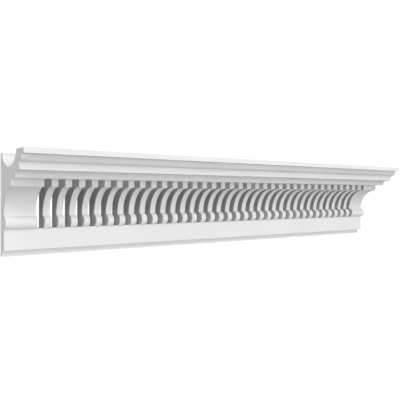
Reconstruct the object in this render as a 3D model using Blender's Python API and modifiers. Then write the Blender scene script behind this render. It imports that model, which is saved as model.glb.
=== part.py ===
"""Vented crown cornice: a moulded length with a row of upright slots and a shallow trough in its top.

Metres, +Z up. X runs along the length and the back lies on the plane Y = 0, with the front towards -Y.
The origin is on the back, halfway along, in the middle of the plain band below the slots.
A section point is (out, up): the distance out from the wall and the height above the underside.
"""

import math

import bmesh
import bpy

# Overall size
LENGTH = 1.000
HEIGHT = 0.1865
PROJECTION = 0.151

# Foot: a low strip set back under the lower fascia
STRIP_PROJECTION = 0.0135
STRIP_HEIGHT = 0.0118
FASCIA_PROJECTION = 0.0256
FASCIA_HEIGHT = 0.0380

# Bead and fillet, with the cove between them taking the height that is left
BEAD_RADIUS = 0.0115
FILLET_HEIGHT = 0.0138

# Crown: the members above the slots, each set back from the one above it
CAVETTO_LIP = 0.0036
CAVETTO_RISE = 0.0088
CAVETTO_RUN = 0.0156
SECOND_FASCIA_HEIGHT = 0.0129
OVOLO_RISE = 0.0080
OVOLO_RUN = 0.0080
OVOLO_LIP = 0.0042
TOP_FASCIA_HEIGHT = 0.0096
SETBACK_OVOLO = 0.0130
SETBACK_SECOND_FASCIA = 0.0115
SETBACK_CAVETTO = 0.0107
SETBACK_FILLET = 0.0246

# Trough in the top, between a thin back leg and a thick front leg
BACK_LEG = 0.0148
FRONT_LEG = 0.0458
TROUGH_DEPTH = 0.0269

# Slots, from the end of a plain block onwards, as many as leave a plain block at the far end too
SLOT_WIDTH = 0.0130
SLOT_PITCH = 0.02508
START_BLOCK = 0.0558
END_BLOCK_LEAST = 0.050

# Number of straight steps in each round stretch
COVE_STEPS = 12
BEAD_STEPS = 10
SMALL_CURVE_STEPS = 5
TROUGH_STEPS = 16

# How far a cutter runs past the face that it opens
CUT_MARGIN = 0.010
MERGE_DISTANCE = 0.00001

# Heights above the underside
FASCIA_TOP = STRIP_HEIGHT + FASCIA_HEIGHT
BEAD_TOP = FASCIA_TOP + 2 * BEAD_RADIUS
TOP_FASCIA_FOOT = HEIGHT - TOP_FASCIA_HEIGHT
OVOLO_FOOT = TOP_FASCIA_FOOT - OVOLO_LIP - OVOLO_RISE
SECOND_FASCIA_FOOT = OVOLO_FOOT - SECOND_FASCIA_HEIGHT
CAVETTO_FOOT = SECOND_FASCIA_FOOT - CAVETTO_RISE - CAVETTO_LIP
FILLET_FOOT = CAVETTO_FOOT - FILLET_HEIGHT

# Distances out from the wall
OVOLO_FACE = PROJECTION - SETBACK_OVOLO
SECOND_FASCIA_FACE = OVOLO_FACE - SETBACK_SECOND_FASCIA
CAVETTO_HEAD = SECOND_FASCIA_FACE - SETBACK_CAVETTO
CAVETTO_FACE = CAVETTO_HEAD - CAVETTO_RUN
FILLET_FACE = CAVETTO_FACE - SETBACK_FILLET
TROUGH_HALF_WIDTH = (PROJECTION - BACK_LEG - FRONT_LEG) / 2
TROUGH_MIDDLE = BACK_LEG + TROUGH_HALF_WIDTH

# The slots run from the top of the lower fascia to the underside of the crown
SLOT_FOOT = FASCIA_TOP
SLOT_HEAD = CAVETTO_FOOT
SLOT_COUNT = math.floor((LENGTH - START_BLOCK - END_BLOCK_LEAST - SLOT_WIDTH) / SLOT_PITCH) + 1

# The origin's height above the underside
ORIGIN_HEIGHT = FASCIA_TOP / 2


def clear_scene():
    for item in list(bpy.data.objects):
        bpy.data.objects.remove(item, do_unlink=True)


def make_collection(name):
    collection = bpy.data.collections.new(name)
    bpy.context.scene.collection.children.link(collection)
    return collection


def plaster_material():
    material = bpy.data.materials.new("white_plaster")
    material.use_nodes = True
    shader = material.node_tree.nodes["Principled BSDF"]
    shader.inputs["Base Color"].default_value = (0.84, 0.84, 0.83, 1.0)
    shader.inputs["Roughness"].default_value = 0.75
    shader.inputs["Metallic"].default_value = 0.0
    return material


def ellipse_arc(centre, half_width, half_height, start, end, steps):
    """Points along an ellipse about centre, from one angle in degrees to another, both ends included."""
    points = []
    for step in range(steps + 1):
        angle = math.radians(start + (end - start) * step / steps)
        points.append((centre[0] + half_width * math.cos(angle), centre[1] + half_height * math.sin(angle)))
    return points


def foot_outline():
    return [
        (0.0, 0.0),
        (STRIP_PROJECTION, 0.0),
        (STRIP_PROJECTION, STRIP_HEIGHT),
        (FASCIA_PROJECTION, STRIP_HEIGHT),
    ]


def slotted_outline():
    """Bead, cove and fillet, upwards from the top of the lower fascia."""
    bead = ellipse_arc((FASCIA_PROJECTION, FASCIA_TOP + BEAD_RADIUS), BEAD_RADIUS, BEAD_RADIUS,
                       -90, 90, BEAD_STEPS)
    cove = ellipse_arc((FILLET_FACE, BEAD_TOP), FILLET_FACE - FASCIA_PROJECTION, FILLET_FOOT - BEAD_TOP,
                       180, 90, COVE_STEPS)
    return bead + cove[1:] + [(FILLET_FACE, CAVETTO_FOOT)]


def crown_outline():
    """The stepped members above the slots, upwards to the top front edge."""
    cavetto = ellipse_arc((CAVETTO_HEAD, CAVETTO_FOOT + CAVETTO_LIP), CAVETTO_RUN, CAVETTO_RISE,
                          180, 90, SMALL_CURVE_STEPS)
    ovolo = ellipse_arc((OVOLO_FACE - OVOLO_RUN, OVOLO_FOOT + OVOLO_RISE), OVOLO_RUN, OVOLO_RISE,
                        -90, 0, SMALL_CURVE_STEPS)
    return [
        (CAVETTO_FACE, CAVETTO_FOOT),
        *cavetto,
        (SECOND_FASCIA_FACE, SECOND_FASCIA_FOOT),
        (SECOND_FASCIA_FACE, OVOLO_FOOT),
        *ovolo,
        (OVOLO_FACE, TOP_FASCIA_FOOT),
        (PROJECTION, TOP_FASCIA_FOOT),
        (PROJECTION, HEIGHT),
    ]


def trough_outline():
    """The half ellipse that opens the top, from the front leg round to the back leg."""
    hollow = ellipse_arc((TROUGH_MIDDLE, HEIGHT), TROUGH_HALF_WIDTH, TROUGH_DEPTH, 0, -180, TROUGH_STEPS)
    return hollow + [(0.0, HEIGHT)]


def outline_curve(name, outline, half_length):
    """A filled flat curve through the section's points, drawn out along its own Z to both sides."""
    curve = bpy.data.curves.new(name, "CURVE")
    curve.dimensions = "2D"
    curve.fill_mode = "BOTH"
    curve.extrude = half_length
    spline = curve.splines.new("POLY")
    spline.points.add(len(outline) - 1)
    for point, (out, up) in zip(spline.points, outline):
        point.co = (out, up - ORIGIN_HEIGHT, 0.0, 1.0)
    spline.use_cyclic_u = True
    item = bpy.data.objects.new(name, curve)
    # The curve's own X points out from the wall and its own Y points up
    item.rotation_euler = (math.pi / 2, 0.0, -math.pi / 2)
    bpy.context.scene.collection.objects.link(item)
    return item


def curve_to_mesh(item, name, collection):
    """A closed mesh of the curve in its place, with the caps welded to the sides."""
    bpy.context.view_layer.update()
    evaluated = item.evaluated_get(bpy.context.evaluated_depsgraph_get())
    mesh = bpy.data.meshes.new_from_object(evaluated)
    mesh.name = name
    mesh.transform(item.matrix_world)
    bpy.data.objects.remove(item, do_unlink=True)
    work = bmesh.new()
    work.from_mesh(mesh)
    bmesh.ops.remove_doubles(work, verts=work.verts, dist=MERGE_DISTANCE)
    bmesh.ops.recalc_face_normals(work, faces=work.faces)
    work.to_mesh(mesh)
    work.free()
    solid = bpy.data.objects.new(name, mesh)
    collection.objects.link(solid)
    return solid


def slot_cutter(collection):
    """One box per slot, in a row that starts where the first plain block ends."""
    depth = FILLET_FACE + 2 * CUT_MARGIN
    height = SLOT_HEAD - SLOT_FOOT
    first_middle = -LENGTH / 2 + START_BLOCK + SLOT_WIDTH / 2
    bpy.ops.mesh.primitive_cube_add(size=1.0)
    cutter = bpy.context.object
    cutter.name = "slot_cutter"
    for vertex in cutter.data.vertices:
        vertex.co.x = vertex.co.x * SLOT_WIDTH + first_middle
        vertex.co.y = vertex.co.y * depth - FILLET_FACE / 2
        vertex.co.z = vertex.co.z * height + (SLOT_FOOT + SLOT_HEAD) / 2 - ORIGIN_HEIGHT
    row = cutter.modifiers.new("row_of_slots", "ARRAY")
    row.count = SLOT_COUNT
    row.use_relative_offset = False
    row.use_constant_offset = True
    row.constant_offset_displace = (SLOT_PITCH, 0.0, 0.0)
    row.use_merge_vertices = False
    for owner in list(cutter.users_collection):
        owner.objects.unlink(cutter)
    collection.objects.link(cutter)
    cutter.hide_render = True
    cutter.display_type = "WIRE"
    return cutter


def build_cornice(collection, cutters):
    outline = foot_outline() + slotted_outline() + crown_outline() + trough_outline()
    section = outline_curve("cornice_section", outline, LENGTH / 2)
    cornice = curve_to_mesh(section, "cornice", collection)
    cornice.data.materials.append(plaster_material())
    slots = cornice.modifiers.new("slots", "BOOLEAN")
    slots.operation = "DIFFERENCE"
    slots.solver = "EXACT"
    slots.object = slot_cutter(cutters)
    return cornice


clear_scene()
build_cornice(make_collection("vented_cornice"), make_collection("cutters"))
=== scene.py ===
from math import floor, pi, radians

import bmesh
import bpy
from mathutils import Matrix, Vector


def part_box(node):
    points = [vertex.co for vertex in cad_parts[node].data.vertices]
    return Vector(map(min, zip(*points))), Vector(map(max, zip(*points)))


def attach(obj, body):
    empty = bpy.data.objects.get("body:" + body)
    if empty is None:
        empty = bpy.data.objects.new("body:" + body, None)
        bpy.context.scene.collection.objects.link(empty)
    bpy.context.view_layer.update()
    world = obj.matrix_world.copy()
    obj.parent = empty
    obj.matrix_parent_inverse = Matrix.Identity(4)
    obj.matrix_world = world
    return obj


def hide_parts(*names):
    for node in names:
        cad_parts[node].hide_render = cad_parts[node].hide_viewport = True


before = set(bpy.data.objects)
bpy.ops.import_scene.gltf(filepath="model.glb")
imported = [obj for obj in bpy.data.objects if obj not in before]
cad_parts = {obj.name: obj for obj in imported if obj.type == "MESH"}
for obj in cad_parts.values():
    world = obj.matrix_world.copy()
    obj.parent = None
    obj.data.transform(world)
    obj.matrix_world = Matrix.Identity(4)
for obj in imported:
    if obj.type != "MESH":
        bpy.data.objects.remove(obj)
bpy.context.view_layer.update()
low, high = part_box("cornice")
scene = bpy.context.scene
print("frame loaded, the cornice measures", [round(side, 4) for side in high - low])


# Camera, at the photo's point of view

view = {
    "sensor": 36.0,            # millimetres, as is the lens
    "lens": 44.06,
    "turn": 35.00,             # degrees, from square on to the wall towards the far end
    "leftOfNearEnd": 0.2125,
    "fromWall": 0.9333,
    "aboveUnderside": 0.1092,
    "shiftY": -0.00993,        # eye level lies a little above the middle of the picture
    "nearest": 0.01,
    "farthest": 200.0,
}


def setCamera():
    camera = bpy.data.objects.new("camera", bpy.data.cameras.new("camera"))
    scene.collection.objects.link(camera)
    camera.data.sensor_width = view["sensor"]
    camera.data.lens = view["lens"]
    camera.data.shift_y = view["shiftY"]
    camera.data.clip_start = view["nearest"]
    camera.data.clip_end = view["farthest"]
    camera.location = (low.x - view["leftOfNearEnd"], high.y - view["fromWall"],
                       low.z + view["aboveUnderside"])
    camera.rotation_euler = (radians(90), 0.0, radians(-view["turn"]))
    scene.camera = camera
    print("camera set")


# Studio

studio = {
    "floorDrop": 2.4,          # metres from the underside down to the floor of the room
    "floorSize": 2.5,
    "floorForward": 0.3,       # the middle of the floor lies this far in front of the wall
    "floorColour": (0.97, 0.97, 0.97),
    "floorRoughness": 0.9,
    "floorGlow": 0.19,         # faint light of its own, so that it looks white
    "whiteness": 1.1,          # of the room's walls, a little over white
    "lights": {
        # degrees round from the front, degrees up, strength, degrees across
        "keyLight": (0, 5, 0.348, 25),
        "highKeyLight": (0, 35, 0.328, 25),
        "lowLight": (0, -30, 0.24, 25),
        "nearCornerLight": (-45, 20, 0.122, 20),
        "highCornerLight": (-30, 45, 0.088, 20),
        "nearEndLight": (-90, 32, 0.10, 30),
        "levelEndLight": (-90, 0, 0.272, 30),
        "lowEndLight": (-90, -28, 0.055, 30),
        "backCornerLight": (-120, 10, 0.05, 40),
        "farEndLight": (90, 15, 0.10, 50),
        "topLight": (0, 80, 0.44, 60),
        "backLight": (180, 4, 0.30, 4),
    },
}


def setStudio():
    bpy.ops.object.select_all(action="DESELECT")
    bpy.ops.mesh.primitive_plane_add(size=studio["floorSize"],
                                     location=(0.0, -studio["floorForward"], low.z - studio["floorDrop"]))
    floorPlane = bpy.context.object
    floorPlane.name = "studioFloor"
    paint = bpy.data.materials.new("paleFloor")
    paint.use_nodes = True
    shader = paint.node_tree.nodes["Principled BSDF"]
    shader.inputs["Base Color"].default_value = (*studio["floorColour"], 1.0)
    shader.inputs["Roughness"].default_value = studio["floorRoughness"]
    shader.inputs["Emission Color"].default_value = (1.0, 1.0, 1.0, 1.0)
    shader.inputs["Emission Strength"].default_value = studio["floorGlow"]
    floorPlane.data.materials.append(paint)

    # the walls of the room are white to look at, and the light comes from the lamps and the floor
    sky = bpy.data.worlds.new("whiteRoom")
    sky.use_nodes = True
    nodes = sky.node_tree.nodes
    links = sky.node_tree.links
    background = nodes["Background"]
    background.inputs["Color"].default_value = (1.0, 1.0, 1.0, 1.0)
    path = nodes.new("ShaderNodeLightPath")
    seen = nodes.new("ShaderNodeMath")
    seen.operation = "MULTIPLY"
    seen.inputs[1].default_value = studio["whiteness"]
    links.new(path.outputs["Is Camera Ray"], seen.inputs[0])
    links.new(seen.outputs[0], background.inputs["Strength"])
    scene.world = sky

    for name, (around, up, strength, across) in studio["lights"].items():
        lamp = bpy.data.objects.new(name, bpy.data.lights.new(name, "SUN"))
        scene.collection.objects.link(lamp)
        lamp.data.energy = strength * pi
        lamp.data.angle = radians(across)
        lamp.rotation_euler = (radians(90 - up), 0.0, radians(around))
    scene.view_settings.view_transform = "Standard"
    print("studio set")


# Plaster: cast white, with clouds, fine grain and a few pinholes, a struck-off back and sawn ends

plaster = {
    "palest": (0.804, 0.804, 0.799),
    "usual": (0.780, 0.780, 0.776),
    "deepest": (0.748, 0.748, 0.743),
    # the colour in the middle of a pinhole, darker as painted shade in its hollow
    "holePaintedShade": (0.42, 0.42, 0.41),
    "plainLeast": 0.34,        # least shade off the holes and cut faces, where 0 is the painted shade of a hole and 1 is palest
    "deepestAt": 0.25,         # the shades that have these colours
    "usualAt": 0.67,
    "cloudShare": 0.65,        # of the clouds in the shade, and the specks have the rest
    "noiseSpread": (0.3, 0.7), # the noise between these is spread over the whole range
    # metres across
    "cloudSize": 0.110,
    "polishSize": 0.055,
    "speckSize": 0.006,
    "grainSize": 0.0008,
    "waveSize": 0.035,
    "dragSize": 0.004,
    "sawSize": 0.003,
    # under 1 on the axis along which marks are drawn out
    "dragStretch": (0.04, 1.0, 1.0),
    "sawStretch": (1.0, 1.0, 0.06),
    "polishMoved": (3.0, 1.0, 2.0),  # so that the polish doesn't follow the clouds
    "smoothest": 0.54,         # roughness
    "roughest": 0.70,
    "cutRoughness": 0.10,      # added where the face was struck off or sawn
    "cutDust": 0.12,           # how far such a face is shaded towards the deepest
    "dragDustAndPaintedShading": 1.3,          # how strongly the strike board's drag shows in the shade of the back, as dust and painted shade in its grooves and painted light on its ridges
    # heights in millimetres
    "waveHeight": 0.09,
    "grainHeight": 0.018,
    "holeDepth": 0.30,
    "dragHeight": 0.35,
    "sawHeight": 0.15,
    # pinholes, where an air bubble lay against the mould
    "holeSpacing": 0.0065,
    "holeShare": 0.40,         # of the places that could have one
    "holeRadius": 0.00050,     # of the widest
    "holeLeast": 0.5,          # radius of the narrowest, as a share of that
    "holeFloor": 0.6,          # share of the radius within which the hole has its full depth and its full painted shade
    "cutReach": 0.0004,        # metres from the back or from an end within which the face is a cut one
}


def combine(tree, operation, *values):
    # a Math node, where each value is a number or what another node gives
    node = tree.nodes.new("ShaderNodeMath")
    node.operation = operation
    for socket, value in zip(node.inputs, values):
        if isinstance(value, (int, float)):
            socket.default_value = value
        else:
            tree.links.new(value, socket)
    return node.outputs[0]


def spread(tree, value, fromLow, fromHigh, toLow, toHigh):
    # a Map Range node, held to its ends
    node = tree.nodes.new("ShaderNodeMapRange")
    tree.links.new(value, node.inputs["Value"])
    ends = {"From Min": fromLow, "From Max": fromHigh, "To Min": toLow, "To Max": toHigh}
    for name, number in ends.items():
        node.inputs[name].default_value = number
    return node.outputs["Result"]


def clouds(tree, where, across, detail, stretch=(1.0, 1.0, 1.0), moved=(0.0, 0.0, 0.0)):
    # noise with features so many metres across, drawn out along an axis where its stretch is under 1
    placing = tree.nodes.new("ShaderNodeMapping")
    placing.inputs["Location"].default_value = moved
    placing.inputs["Scale"].default_value = stretch
    tree.links.new(where, placing.inputs["Vector"])
    noise = tree.nodes.new("ShaderNodeTexNoise")
    noise.inputs["Scale"].default_value = 1.0 / across
    noise.inputs["Detail"].default_value = detail
    tree.links.new(placing.outputs["Vector"], noise.inputs["Vector"])
    return noise.outputs["Fac"]


def pinholes(tree, where):
    # 1 in the middle of a hole and 0 outside it
    cells = tree.nodes.new("ShaderNodeTexVoronoi")
    cells.inputs["Scale"].default_value = 1.0 / plaster["holeSpacing"]
    tree.links.new(where, cells.inputs["Vector"])
    chance = tree.nodes.new("ShaderNodeSeparateColor")
    tree.links.new(cells.outputs["Color"], chance.inputs["Color"])
    chosen = combine(tree, "LESS_THAN", chance.outputs["Red"], plaster["holeShare"])
    radius = plaster["holeRadius"] / plaster["holeSpacing"]
    size = spread(tree, chance.outputs["Green"], 0.0, 1.0, radius * plaster["holeLeast"], radius)
    near = combine(tree, "DIVIDE", cells.outputs["Distance"], size)
    return combine(tree, "MULTIPLY", chosen, spread(tree, near, plaster["holeFloor"], 1.0, 1.0, 0.0))


def makeMasks(tree, where):
    # 1 on the struck-off back and on the sawn ends
    place = tree.nodes.new("ShaderNodeSeparateXYZ")
    tree.links.new(where, place.inputs["Vector"])
    onBack = combine(tree, "GREATER_THAN", place.outputs["Y"], high.y - plaster["cutReach"])
    fromMiddle = combine(tree, "ABSOLUTE",
                         combine(tree, "SUBTRACT", place.outputs["X"], (low.x + high.x) / 2))
    onEnd = combine(tree, "GREATER_THAN", fromMiddle, (high.x - low.x) / 2 - plaster["cutReach"])
    return onBack, onEnd


def makePlaster():
    material = bpy.data.materials.new("castPlaster")
    material.use_nodes = True
    tree = material.node_tree
    shader = tree.nodes["Principled BSDF"]
    where = tree.nodes.new("ShaderNodeTexCoord").outputs["Object"]
    onBack, onEnd = makeMasks(tree, where)
    onCut = combine(tree, "MAXIMUM", onBack, onEnd)
    holes = pinholes(tree, where)

    # shade: clouds and specks all over, the board's streaks on the back, which are dust and painted shade in
    # their grooves and painted light on their ridges, dust on the cut faces
    least, most = plaster["noiseSpread"]
    cloud = spread(tree, clouds(tree, where, plaster["cloudSize"], 3.0), least, most, 0.0, 1.0)
    speck = spread(tree, clouds(tree, where, plaster["speckSize"], 2.0), least, most, 0.0, 1.0)
    mixed = combine(tree, "ADD", combine(tree, "MULTIPLY", cloud, plaster["cloudShare"]),
                    combine(tree, "MULTIPLY", speck, 1.0 - plaster["cloudShare"]))
    dragged = clouds(tree, where, plaster["dragSize"], 3.0, stretch=plaster["dragStretch"])
    # the streaks follow the drag's heights: dust and painted shade in the grooves, painted light on the
    # ridges
    paintedDragShadingAndDust = combine(tree, "MULTIPLY", combine(tree, "SUBTRACT", dragged, 0.5), plaster["dragDustAndPaintedShading"])
    cutShade = combine(tree, "SUBTRACT", combine(tree, "MULTIPLY", paintedDragShadingAndDust, onBack),
                       combine(tree, "MULTIPLY", onCut, plaster["cutDust"]))
    shade = combine(tree, "ADD", spread(tree, mixed, 0.0, 1.0, plaster["plainLeast"], 1.0), cutShade)
    # the holes take the shade down to 0, the painted shade of a pinhole's hollow
    unholed = combine(tree, "SUBTRACT", 1.0, holes)
    ramp = tree.nodes.new("ShaderNodeValToRGB")
    stops = ramp.color_ramp.elements
    stops[0].position = 0.0
    stops[1].position = 1.0
    stops[0].color = (*plaster["holePaintedShade"], 1.0)
    stops[1].color = (*plaster["palest"], 1.0)
    stops.new(plaster["deepestAt"]).color = (*plaster["deepest"], 1.0)
    stops.new(plaster["usualAt"]).color = (*plaster["usual"], 1.0)
    tree.links.new(combine(tree, "MULTIPLY", shade, unholed), ramp.inputs["Fac"])
    tree.links.new(ramp.outputs["Color"], shader.inputs["Base Color"])

    polish = clouds(tree, where, plaster["polishSize"], 4.0, moved=plaster["polishMoved"])
    polished = spread(tree, polish, least, most, plaster["smoothest"], plaster["roughest"])
    roughness = combine(tree, "ADD", polished, combine(tree, "MULTIPLY", onCut, plaster["cutRoughness"]))
    tree.links.new(roughness, shader.inputs["Roughness"])

    # heights: slow waves, grain and holes all over, the board's drag on the back, saw marks on the ends
    wave = combine(tree, "MULTIPLY", clouds(tree, where, plaster["waveSize"], 1.0), plaster["waveHeight"])
    grain = combine(tree, "MULTIPLY", clouds(tree, where, plaster["grainSize"], 2.0), plaster["grainHeight"])
    sunk = combine(tree, "MULTIPLY", holes, -plaster["holeDepth"])
    drag = combine(tree, "MULTIPLY", dragged, plaster["dragHeight"])
    sawn = clouds(tree, where, plaster["sawSize"], 2.0, stretch=plaster["sawStretch"])
    saw = combine(tree, "MULTIPLY", sawn, plaster["sawHeight"])
    cutMarks = combine(tree, "ADD", combine(tree, "MULTIPLY", drag, onBack),
                       combine(tree, "MULTIPLY", saw, onEnd))
    height = combine(tree, "ADD", combine(tree, "ADD", wave, grain), combine(tree, "ADD", sunk, cutMarks))
    bump = tree.nodes.new("ShaderNodeBump")
    bump.inputs["Strength"].default_value = 1.0
    bump.inputs["Distance"].default_value = 0.001  # makes the heights millimetres
    tree.links.new(height, bump.inputs["Height"])
    tree.links.new(bump.outputs["Normal"], shader.inputs["Normal"])
    print("plaster made")
    return material


# Cornice: one casting, drawn as a section and run along the wall bay by bay

cornice = {
    # heights, in metres
    "stripHeight": 0.0118,
    "fasciaHeight": 0.0380,
    "beadRadius": 0.0115,
    "filletHeight": 0.0138,
    "cavettoLip": 0.0036,
    "cavettoRise": 0.0088,
    "secondFasciaHeight": 0.0129,
    "ovoloRise": 0.0080,
    "ovoloLip": 0.0042,
    "topFasciaHeight": 0.0096,
    "troughDepth": 0.0269,
    # distances out from the wall, and how far a member stands back from the one above it
    "stripOut": 0.0135,
    "fasciaOut": 0.0256,
    "filletBack": 0.0246,
    "cavettoRun": 0.0156,
    "cavettoBack": 0.0107,
    "secondFasciaBack": 0.0115,
    "ovoloRun": 0.0080,
    "ovoloBack": 0.0130,
    "backLeg": 0.0148,
    "frontLeg": 0.0458,
    # slots
    "slotWidth": 0.0130,
    "slotPitch": 0.02508,
    "startBlock": 0.0558,       # plain length before the first slot
    "endBlockLeast": 0.050,
    # finish
    "arris": 0.0003,          # how far a softened edge is cut back
    "arrisSteps": 3,
    "sharpAngle": 35,         # degrees, and an edge that turns by more is softened
    "coveSteps": 32,
    "beadSteps": 24,
    "smallSteps": 10,
    "troughSteps": 40,
}

tiny = 0.00002                 # metres, the reach within which two places are the same
pen = {"at": Vector()}         # where the drawing of the section has come to


def workOut():
    # the heights above the underside and the distances out from the wall that follow from the sizes
    size = dict(cornice)
    size["length"], size["depth"], size["height"] = high - low
    size["sill"] = size["stripHeight"] + size["fasciaHeight"]
    size["beadTop"] = size["sill"] + 2 * size["beadRadius"]
    size["topFasciaFoot"] = size["height"] - size["topFasciaHeight"]
    size["ovoloFoot"] = size["topFasciaFoot"] - size["ovoloLip"] - size["ovoloRise"]
    size["secondFoot"] = size["ovoloFoot"] - size["secondFasciaHeight"]
    size["slotHead"] = size["secondFoot"] - size["cavettoRise"] - size["cavettoLip"]
    size["filletFoot"] = size["slotHead"] - size["filletHeight"]
    size["ovoloOut"] = size["depth"] - size["ovoloBack"]
    size["secondOut"] = size["ovoloOut"] - size["secondFasciaBack"]
    size["cavettoHeadOut"] = size["secondOut"] - size["cavettoBack"]
    size["cavettoOut"] = size["cavettoHeadOut"] - size["cavettoRun"]
    size["filletOut"] = size["cavettoOut"] - size["filletBack"]
    room = size["length"] - size["startBlock"] - size["endBlockLeast"] - size["slotWidth"]
    size["slotCount"] = floor(room / size["slotPitch"]) + 1
    size["barWidth"] = size["slotPitch"] - size["slotWidth"]
    size["rowStart"] = low.x + size["startBlock"] - size["barWidth"]
    size["rowEnd"] = size["rowStart"] + size["slotCount"] * size["slotPitch"] + size["barWidth"]
    return size


def pickVertices(piece, test):
    # selects the vertices whose place passes the test, and nothing else
    bpy.ops.mesh.select_mode(type="VERT")
    bpy.ops.mesh.select_all(action="DESELECT")
    edit = bmesh.from_edit_mesh(piece.data)
    for vertex in edit.verts:
        vertex.select = bool(test(vertex.co))
    edit.select_flush(True)
    bmesh.update_edit_mesh(piece.data)


def pickFaces(piece, test):
    # the same for faces, by their middle
    bpy.ops.mesh.select_mode(type="FACE")
    bpy.ops.mesh.select_all(action="DESELECT")
    edit = bmesh.from_edit_mesh(piece.data)
    for face in edit.faces:
        face.select = bool(test(face.calc_center_median()))
    bmesh.update_edit_mesh(piece.data)


def spot(size, out, up):
    # a point of the section, so far out from the wall and so high above the underside
    return Vector((size["rowStart"], high.y - out, low.z + up))


def drawTo(size, out, up):
    place = spot(size, out, up)
    bpy.ops.mesh.extrude_region_move(TRANSFORM_OT_translate={"value": place - pen["at"]})
    pen["at"] = place


def drawRound(piece, size, centre, end, turn, steps, stretch=(1.0, 1.0)):
    # spins the pen about the centre, and stretches the new points out and up into part of an ellipse
    edit = bmesh.from_edit_mesh(piece.data)
    drawn = len(edit.verts)
    middle = spot(size, *centre)
    bpy.ops.mesh.spin(steps=steps, angle=radians(turn), center=middle, axis=(1.0, 0.0, 0.0))
    bpy.ops.mesh.select_all(action="DESELECT")
    edit = bmesh.from_edit_mesh(piece.data)
    edit.verts.ensure_lookup_table()
    for vertex in edit.verts[drawn:]:
        vertex.select = True
    edit.select_flush(True)
    bmesh.update_edit_mesh(piece.data)
    bpy.ops.transform.resize(value=(1.0, *stretch), center_override=middle)
    pen["at"] = spot(size, *end)
    pickVertices(piece, lambda place: (place - pen["at"]).length < tiny)


def drawSection(size):
    # a plane drawn in to one point, which then draws the outline upwards from the wall
    bpy.ops.object.select_all(action="DESELECT")
    bpy.ops.mesh.primitive_plane_add(location=(0.0, 0.0, 0.0))
    piece = bpy.context.object
    piece.name = "castCornice"
    bpy.ops.object.mode_set(mode="EDIT")
    bpy.ops.mesh.select_mode(type="VERT")
    bpy.ops.mesh.select_all(action="SELECT")
    bpy.ops.mesh.merge(type="CENTER")
    pen["at"] = spot(size, 0.0, 0.0)
    bpy.ops.transform.translate(value=pen["at"])
    # strip, lower fascia, bead and cove
    drawTo(size, size["stripOut"], 0.0)
    drawTo(size, size["stripOut"], size["stripHeight"])
    drawTo(size, size["fasciaOut"], size["stripHeight"])
    drawTo(size, size["fasciaOut"], size["sill"])
    beadMiddle = size["sill"] + size["beadRadius"]
    drawRound(piece, size, (size["fasciaOut"], beadMiddle), (size["fasciaOut"], size["beadTop"]),
              180, size["beadSteps"])
    coveTall = (size["filletFoot"] - size["beadTop"]) / (size["filletOut"] - size["fasciaOut"])
    drawRound(piece, size, (size["filletOut"], size["beadTop"]), (size["filletOut"], size["filletFoot"]),
              -90, size["coveSteps"], (1.0, coveTall))
    # fillet, cavetto, second fascia and ovolo
    drawTo(size, size["filletOut"], size["slotHead"])
    drawTo(size, size["cavettoOut"], size["slotHead"])
    drawTo(size, size["cavettoOut"], size["slotHead"] + size["cavettoLip"])
    drawRound(piece, size, (size["cavettoHeadOut"], size["slotHead"] + size["cavettoLip"]),
              (size["cavettoHeadOut"], size["secondFoot"]),
              -90, size["smallSteps"], (1.0, size["cavettoRise"] / size["cavettoRun"]))
    drawTo(size, size["secondOut"], size["secondFoot"])
    drawTo(size, size["secondOut"], size["ovoloFoot"])
    drawTo(size, size["ovoloOut"] - size["ovoloRun"], size["ovoloFoot"])
    ovoloHead = size["ovoloFoot"] + size["ovoloRise"]
    drawRound(piece, size, (size["ovoloOut"] - size["ovoloRun"], ovoloHead), (size["ovoloOut"], ovoloHead),
              90, size["smallSteps"], (size["ovoloRun"] / size["ovoloRise"], 1.0))
    # top fascia, front leg, trough and back leg
    drawTo(size, size["ovoloOut"], size["topFasciaFoot"])
    drawTo(size, size["depth"], size["topFasciaFoot"])
    drawTo(size, size["depth"], size["height"])
    drawTo(size, size["depth"] - size["frontLeg"], size["height"])
    troughHalf = (size["depth"] - size["backLeg"] - size["frontLeg"]) / 2
    drawRound(piece, size, (size["backLeg"] + troughHalf, size["height"]), (size["backLeg"], size["height"]),
              -180, size["troughSteps"], (1.0, size["troughDepth"] / troughHalf))
    drawTo(size, 0.0, size["height"])
    # closed along the wall and filled, then parted at the sill and the head of the slots
    foot = spot(size, 0.0, 0.0)
    pickVertices(piece, lambda place: min((place - foot).length, (place - pen["at"]).length) < tiny)
    bpy.ops.mesh.edge_face_add()
    bpy.ops.mesh.select_all(action="SELECT")
    bpy.ops.mesh.edge_face_add()
    for level in (size["sill"], size["slotHead"]):
        bpy.ops.mesh.select_all(action="SELECT")
        bpy.ops.mesh.bisect(plane_co=spot(size, 0.0, level), plane_no=(0.0, 0.0, 1.0), threshold=tiny)
    print("section drawn")
    return piece


def makeBay(piece, size):
    # the whole section makes a bar, and then its foot and crown alone pass below and above a slot
    sill = low.z + size["sill"]
    head = low.z + size["slotHead"]
    barEnd = size["rowStart"] + size["barWidth"]
    bayEnd = size["rowStart"] + size["slotPitch"]
    bpy.ops.mesh.select_all(action="SELECT")
    bpy.ops.mesh.extrude_region_move(TRANSFORM_OT_translate={"value": (size["barWidth"], 0.0, 0.0)})
    pickFaces(piece, lambda place: abs(place.x - barEnd) < tiny and not sill < place.z < head)
    bpy.ops.mesh.extrude_region_move(TRANSFORM_OT_translate={"value": (size["slotWidth"], 0.0, 0.0)})
    # open where the next bay joins on
    pickFaces(piece, lambda place: not sill < place.z < head
              and min(abs(place.x - size["rowStart"]), abs(place.x - bayEnd)) < tiny)
    bpy.ops.mesh.delete(type="FACE")
    bpy.ops.object.mode_set(mode="OBJECT")
    print("one bay made")


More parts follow.
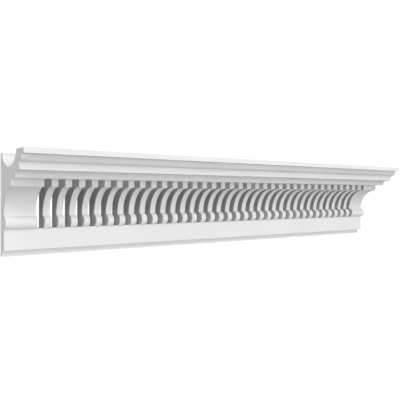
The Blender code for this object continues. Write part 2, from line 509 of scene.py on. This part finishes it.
def makeRow(piece, size):
    row = piece.modifiers.new("row", "ARRAY")
    row.count = size["slotCount"] + 1
    row.use_relative_offset = False
    row.use_constant_offset = True
    row.constant_offset_displace = (size["slotPitch"], 0.0, 0.0)
    row.use_merge_vertices = True
    row.merge_threshold = tiny
    bpy.ops.object.modifier_apply(modifier="row")
    # the last bay is a bar alone, and both ends of the row are closed and drawn out to the end blocks
    bpy.ops.object.mode_set(mode="EDIT")
    bpy.ops.mesh.select_all(action="SELECT")
    bpy.ops.mesh.remove_doubles(threshold=tiny / 2)
    pickVertices(piece, lambda place: place.x > size["rowEnd"] + tiny)
    bpy.ops.mesh.delete(type="VERT")
    sill = low.z + size["sill"]
    head = low.z + size["slotHead"]
    for rowTip, endFace in ((size["rowStart"], low.x), (size["rowEnd"], high.x)):
        pickVertices(piece, lambda place: abs(place.x - rowTip) < tiny and place.z < sill + tiny)
        bpy.ops.mesh.edge_face_add()
        pickVertices(piece, lambda place: abs(place.x - rowTip) < tiny and place.z > head - tiny)
        bpy.ops.mesh.edge_face_add()
        pickFaces(piece, lambda place: abs(place.x - rowTip) < tiny)
        bpy.ops.mesh.dissolve_faces()
        pickVertices(piece, lambda place: abs(place.x - rowTip) < tiny)
        bpy.ops.transform.translate(value=(endFace - rowTip, 0.0, 0.0))
    bpy.ops.mesh.select_all(action="SELECT")
    bpy.ops.mesh.normals_make_consistent(inside=False)
    bpy.ops.object.mode_set(mode="OBJECT")
    print("row of", size["slotCount"], "slots made")


def softenEdges(piece, size):
    soft = piece.modifiers.new("arrises", "BEVEL")
    soft.width = size["arris"]
    soft.segments = size["arrisSteps"]
    soft.limit_method = "ANGLE"
    soft.angle_limit = radians(size["sharpAngle"])
    bpy.ops.object.modifier_apply(modifier="arrises")
    bpy.ops.object.shade_smooth_by_angle(angle=radians(size["sharpAngle"]))
    weighted = piece.modifiers.new("weighted", "WEIGHTED_NORMAL")
    weighted.keep_sharp = True
    bpy.ops.object.modifier_apply(modifier="weighted")
    print("edges softened,", len(piece.data.polygons), "faces")


def makeCornice():
    size = workOut()
    piece = drawSection(size)
    makeBay(piece, size)
    makeRow(piece, size)
    softenEdges(piece, size)
    piece.data.materials.append(makePlaster())
    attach(piece, "root")
    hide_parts("cornice")


setCamera()
setStudio()
makeCornice()
